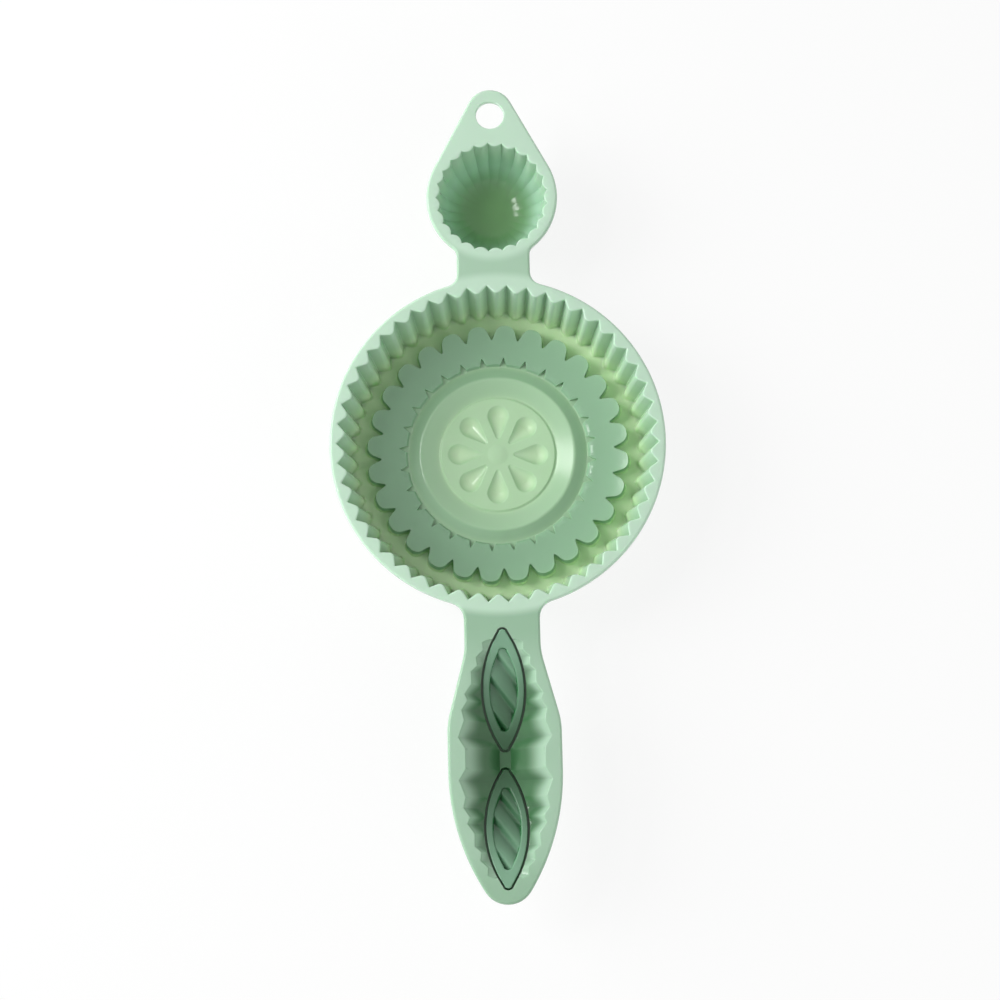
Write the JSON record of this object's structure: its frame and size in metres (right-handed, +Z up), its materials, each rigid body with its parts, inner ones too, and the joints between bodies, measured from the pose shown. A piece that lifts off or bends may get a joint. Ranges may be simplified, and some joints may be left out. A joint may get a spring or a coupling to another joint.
{
  "type": "paddle mould for moon cakes",
  "caption": "Hand-held paddle mould: a fluted round dish, a small fluted cup with a hanging tab, and a handle hollowed as a boat-shaped mould with two leaf inserts.",
  "frame": {"origin": "centre of the cake dish on the plane that its base ring rests on", "axes": "+Z up with the moulds open upwards, +Y from the dish to the small cup and the hanging tab, the handle along -Y"},
  "size_m": [0.11, 0.2694, 0.0265],
  "materials": {
    "mould_plastic": "glossy pale green plastic, slightly milky",
    "leaf_plastic": "glossy darker green plastic"
  },
  "bodies": {
    "root": {"cake_dish": "mould_plastic", "small_cup": "mould_plastic", "hanging_tab": "mould_plastic", "handle": "mould_plastic", "leaf_insert_dish_end": "leaf_plastic", "leaf_insert_tip_end": "leaf_plastic"}
  },
  "joints": []
}
